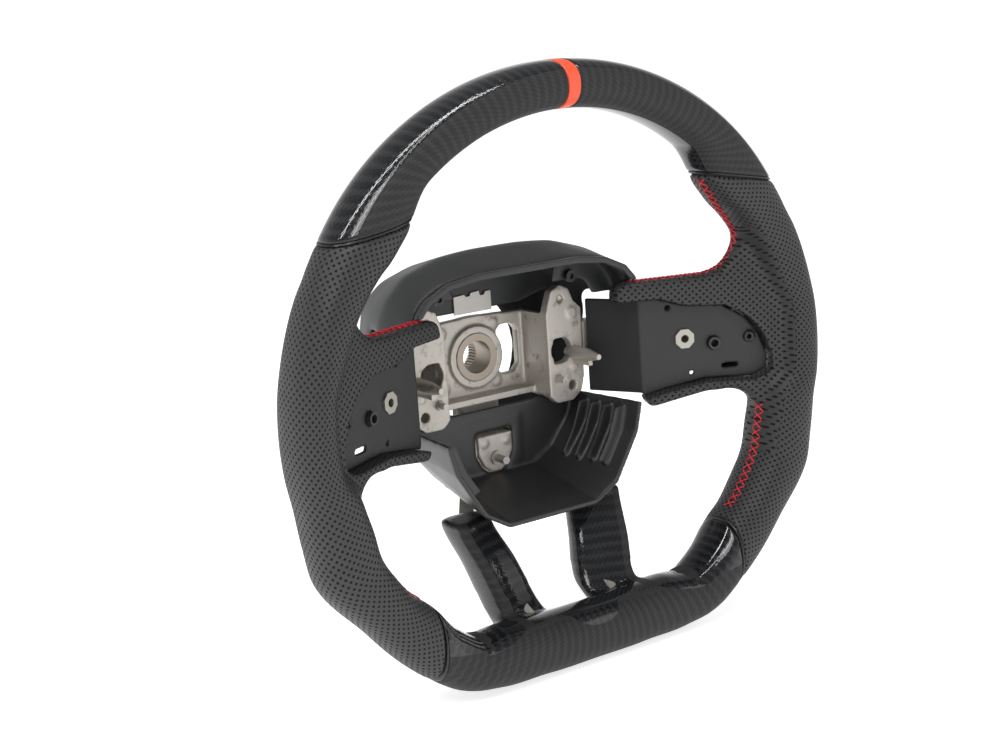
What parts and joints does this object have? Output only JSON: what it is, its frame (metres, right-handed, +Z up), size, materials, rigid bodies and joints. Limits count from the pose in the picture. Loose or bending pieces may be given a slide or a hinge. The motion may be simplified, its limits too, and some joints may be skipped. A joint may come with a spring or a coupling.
{
  "type": "steering wheel",
  "caption": "Flat-bottomed road-car steering wheel with leather grips, carbon rim sections, a splined column bore, an open airbag pocket and open switch carriers.",
  "frame": {"origin": "on the column bore's axis, at the front face of the hub boss, the face towards the driver", "axes": "+Z is up, towards the top of the rim; +Y points forward along the column bore, away from the driver; +X is the driver's right"},
  "size_m": [0.374, 0.1485, 0.3568],
  "materials": {
    "cast_alloy": "as cast, satin, warm grey",
    "core_steel": "plain, dull",
    "sleeve_steel": "machined, bright",
    "plated_steel": "zinc plated, bright",
    "insert_metal": "satin, whitish",
    "spring_plate": "stamped, dull",
    "rim_foam": "skinned foam, matt",
    "carbon": "carbon twill, matt faces with lacquered gloss areas",
    "stripe": "orange-red, matt",
    "leather": "dark charcoal, perforated",
    "thread": "red cross stitching",
    "seam": "black joint filler",
    "cover_plastic": "fine grained, matt",
    "black_plastic": "black, matt",
    "screw_black": "black finish"
  },
  "bodies": {
    "root": {"armature_hub": "cast_alloy", "armature_arms": "cast_alloy", "rim_core": "core_steel", "column_sleeve": "sleeve_steel", "airbag_studs": "cast_alloy", "shield_stud": "plated_steel", "locating_pins": "cast_alloy", "rim_foam_top": "rim_foam", "rim_foam_left": "rim_foam", "rim_foam_right": "rim_foam", "rim_foam_bottom": "rim_foam", "carbon_top_left": "carbon", "carbon_top_right": "carbon", "centre_stripe": "stripe", "leather_left": "leather", "leather_right": "leather", "spoke_leather_left": "leather", "spoke_leather_right": "leather", "stitching_left": "thread", "stitching_right": "thread", "joint_seams": "seam", "carbon_bottom": "carbon", "rear_cover": "cover_plastic", "cover_lip": "black_plastic", "airbag_bowl": "black_plastic", "spoke_back_left": "cover_plastic", "spoke_back_right": "cover_plastic", "switch_carrier_left": "black_plastic", "switch_carrier_right": "black_plastic", "carrier_inserts": "insert_metal", "carrier_caps": "black_plastic", "cover_screws": "screw_black", "ground_tab": "spring_plate"}
  },
  "joints": []
}
